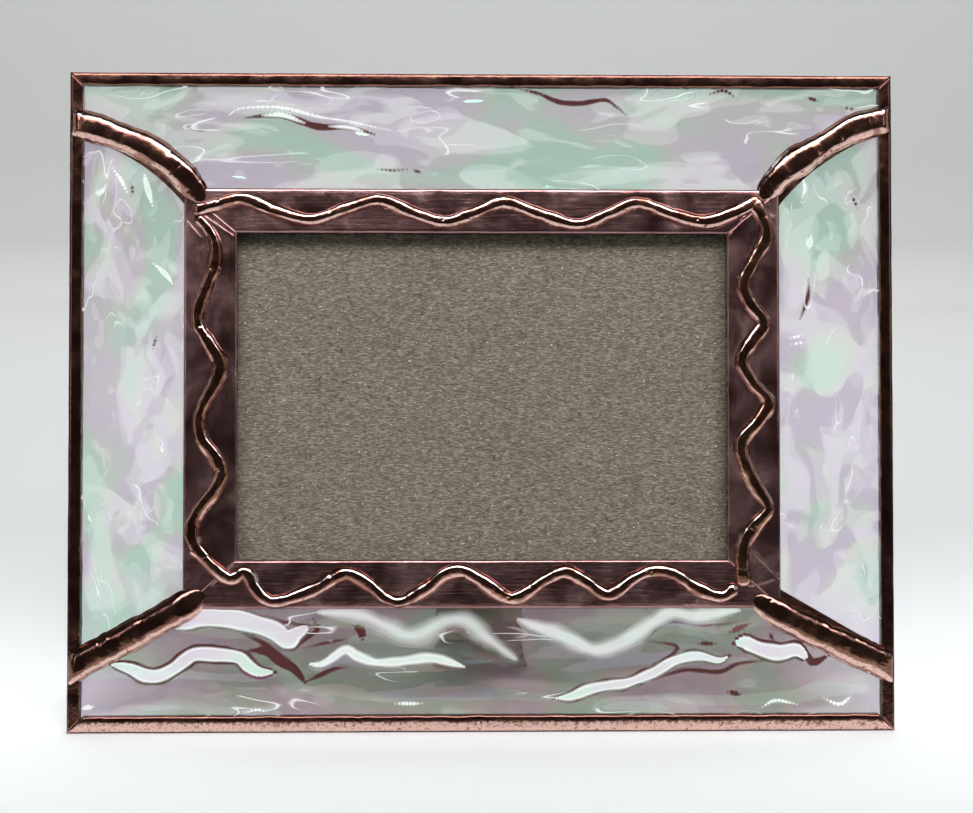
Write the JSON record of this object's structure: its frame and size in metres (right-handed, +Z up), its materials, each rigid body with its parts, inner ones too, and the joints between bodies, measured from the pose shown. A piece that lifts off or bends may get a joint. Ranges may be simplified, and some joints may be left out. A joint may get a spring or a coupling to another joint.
{
  "type": "leaded glass picture frame",
  "caption": "Free-standing photo frame of copper-foiled, soldered wavy glass round a picture window, with a picture pocket, sliding pane and board, and a folding leg at the back.",
  "frame": {"origin": "on the table, at the middle of the flat filed along the bottom rim that the panel stands on", "axes": "+X to the right along the panel's width, +Y from the viewer to the back, +Z up; the panel leans back 12 degrees towards +Y"},
  "size_m": [0.247, 0.0703, 0.1929],
  "materials": {
    "copper_foil": "tinned copper tape with a dark copper patina",
    "flat_solder": "flat solder with a dark copper patina",
    "greyboard": "matt, with short fibres and light flecks",
    "hidden_glass": "plain clear glass, wrapped in copper tape",
    "patina_brass": "brass with a dark copper patina",
    "patina_solder": "glossy raised solder with a dark copper patina",
    "pin_brass": "plain brass rod",
    "rippled_glass": "clear wavy glass with a thin rainbow coating",
    "window_glass": "clear"
  },
  "bodies": {
    "frame": {"back_ring_seam_bottom": "patina_solder", "back_ring_seam_left": "patina_solder", "back_ring_seam_right": "patina_solder", "back_ring_seam_top": "patina_solder", "back_seam_bottom_left": "patina_solder", "back_seam_bottom_right": "patina_solder", "back_seam_top_left": "patina_solder", "back_seam_top_right": "patina_solder", "brace": "patina_brass", "brace_joints": "patina_solder", "channel_bottom": "patina_brass", "channel_left": "patina_brass", "channel_right": "patina_brass", "foil_bottom": "copper_foil", "foil_left": "copper_foil", "foil_right": "copper_foil", "foil_top": "copper_foil", "front_seam_bottom_left": "patina_solder", "front_seam_bottom_right": "patina_solder", "front_seam_top_left": "patina_solder", "front_seam_top_right": "patina_solder", "glass_bottom": "rippled_glass", "glass_left": "rippled_glass", "glass_right": "rippled_glass", "glass_top": "rippled_glass", "hinge_pin": "pin_brass", "hinge_solder": "patina_solder", "knuckle_left": "patina_brass", "knuckle_right": "patina_brass", "rim_bottom": "patina_solder", "rim_left": "patina_solder", "rim_right": "patina_solder", "rim_top": "patina_solder", "ripple_bead_bottom": "patina_solder", "ripple_bead_left": "patina_solder", "ripple_bead_right": "patina_solder", "ripple_bead_top": "patina_solder", "strip_core_bottom": "hidden_glass", "strip_core_left": "hidden_glass", "strip_core_right": "hidden_glass", "strip_core_top": "hidden_glass", "strip_face_bottom": "flat_solder", "strip_face_left": "flat_solder", "strip_face_right": "flat_solder", "strip_face_top": "flat_solder", "strip_foil_bottom": "copper_foil", "strip_foil_left": "copper_foil", "strip_foil_right": "copper_foil", "strip_foil_top": "copper_foil"},
    "pane": {"window_pane": "window_glass"},
    "board": {"picture_board": "greyboard"},
    "easel": {"leg": "patina_brass", "leg_knuckle": "patina_brass", "leg_hinge_solder": "patina_solder"}
  },
  "joints": [
    {"name": "leg_fold", "type": "hinge", "parent": "frame", "child": "easel", "pos_m": [0, 0.03565, 0.12208], "axis": [1, 0, 0], "range_deg": [-25, 0]},
    {"name": "pane_slide", "type": "slide", "parent": "frame", "child": "pane", "axis": [0, 0.2079, 0.9781], "range_m": [0, 0.11]},
    {"name": "board_slide", "type": "slide", "parent": "frame", "child": "board", "axis": [0, 0.2079, 0.9781], "range_m": [0, 0.11]}
  ]
}
